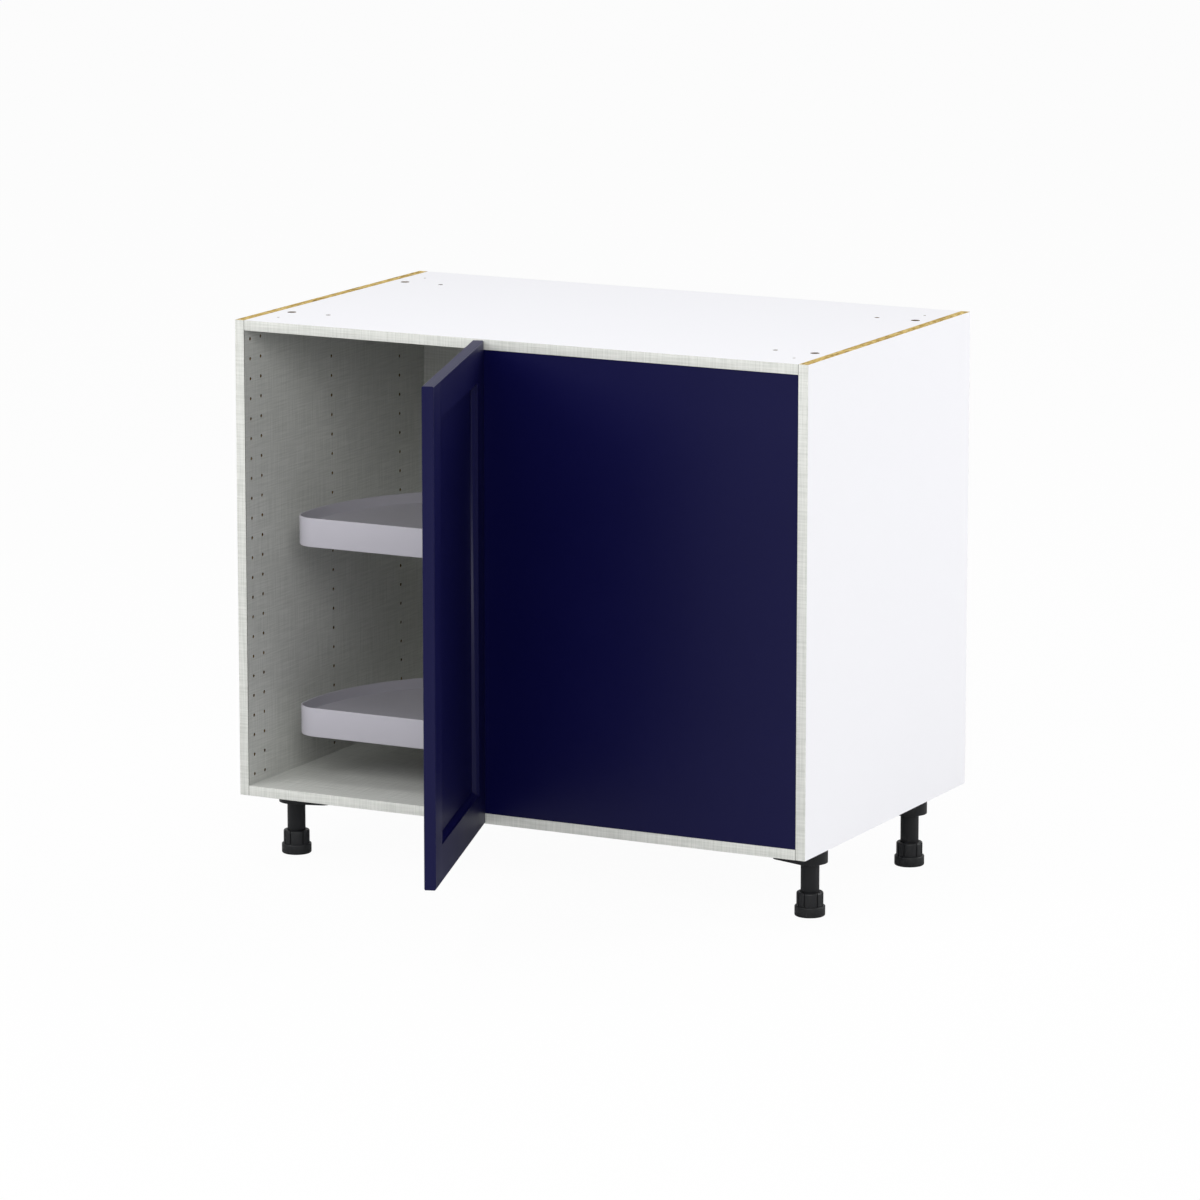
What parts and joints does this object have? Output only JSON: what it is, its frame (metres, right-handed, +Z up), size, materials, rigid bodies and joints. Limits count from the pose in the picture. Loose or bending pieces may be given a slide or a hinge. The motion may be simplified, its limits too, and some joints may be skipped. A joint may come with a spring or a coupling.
{
  "type": "blind corner base cabinet",
  "caption": "Base cabinet for a blind kitchen corner: fixed blind panel, framed door on cup hinges, swing-out half-moon trays on a post, adjustable feet",
  "frame": {"origin": "centre of the overall box's underside, on the floor; the overall box includes the open door", "axes": "+X to the right along the front, +Y from the front towards the wall, +Z up"},
  "size_m": [0.9906, 1.027, 0.8763],
  "materials": {
    "white_melamine": "satin",
    "linen_edge": "satin",
    "navy_lacquer": "satin",
    "die_cast_zinc": "satin",
    "zinc_plated_steel": "satin",
    "nickel_plated_steel": "polished",
    "beech": "matte",
    "black_plastic": "matte",
    "grey_plastic": "satin",
    "tray_plastic": "satin",
    "post_chrome": "polished"
  },
  "bodies": {
    "cabinet": {"side_left": "white_melamine", "side_right": "white_melamine", "top_panel": "white_melamine", "bottom_panel": "white_melamine", "back_panel": "white_melamine", "front_edge_bands": "linen_edge", "blind_panel": "navy_lacquer", "cam_locks": "die_cast_zinc", "cam_bolts": "zinc_plated_steel", "panel_brackets": "zinc_plated_steel", "panel_bracket_screws": "zinc_plated_steel", "foot_bracket_screws": "zinc_plated_steel", "post_socket_screws": "zinc_plated_steel", "hinge_plate_screws": "zinc_plated_steel", "collar_screws": "zinc_plated_steel", "hinge_arm_screws": "zinc_plated_steel", "hinge_arms": "nickel_plated_steel", "hinge_plates": "nickel_plated_steel", "wood_dowels": "beech", "foot_brackets": "black_plastic", "leg_tubes": "black_plastic", "post_sockets": "grey_plastic", "tray_collars": "grey_plastic", "carousel_post": "post_chrome"},
    "door": {"door_hinge_stile": "navy_lacquer", "door_latch_stile": "navy_lacquer", "door_top_rail": "navy_lacquer", "door_bottom_rail": "navy_lacquer", "door_center_panel": "navy_lacquer", "hinge_cups": "nickel_plated_steel", "hinge_pins": "nickel_plated_steel", "hinge_cup_screws": "zinc_plated_steel"},
    "upper_tray": {"tray_upper": "tray_plastic"},
    "lower_tray": {"tray_lower": "tray_plastic"},
    "foot_front_left": {"foot_adjuster_front_left": "black_plastic"},
    "foot_front_right": {"foot_adjuster_front_right": "black_plastic"},
    "foot_back_left": {"foot_adjuster_back_left": "black_plastic"},
    "foot_back_right": {"foot_adjuster_back_right": "black_plastic"}
  },
  "joints": [
    {"name": "door_hinge", "type": "hinge", "parent": "cabinet", "child": "door", "pos_m": [-0.0588, -0.09873, 0.4953], "axis": [0, 0, 1], "range_deg": [-108.6, 0]},
    {"name": "upper_tray_swing", "type": "hinge", "parent": "cabinet", "child": "upper_tray", "pos_m": [-0.105, 0.00247, 0.5123], "axis": [0, 0, 1], "range_deg": [0, 90]},
    {"name": "lower_tray_swing", "type": "hinge", "parent": "cabinet", "child": "lower_tray", "pos_m": [-0.105, 0.00247, 0.2063], "axis": [0, 0, 1], "range_deg": [0, 90]},
    {"name": "foot_front_left_screw", "type": "slide", "parent": "cabinet", "child": "foot_front_left", "axis": [0, 0, 1], "range_m": [-0.02, 0]},
    {"name": "foot_front_right_screw", "type": "slide", "parent": "cabinet", "child": "foot_front_right", "axis": [0, 0, 1], "range_m": [-0.02, 0]},
    {"name": "foot_back_left_screw", "type": "slide", "parent": "cabinet", "child": "foot_back_left", "axis": [0, 0, 1], "range_m": [-0.02, 0]},
    {"name": "foot_back_right_screw", "type": "slide", "parent": "cabinet", "child": "foot_back_right", "axis": [0, 0, 1], "range_m": [-0.02, 0]}
  ]
}
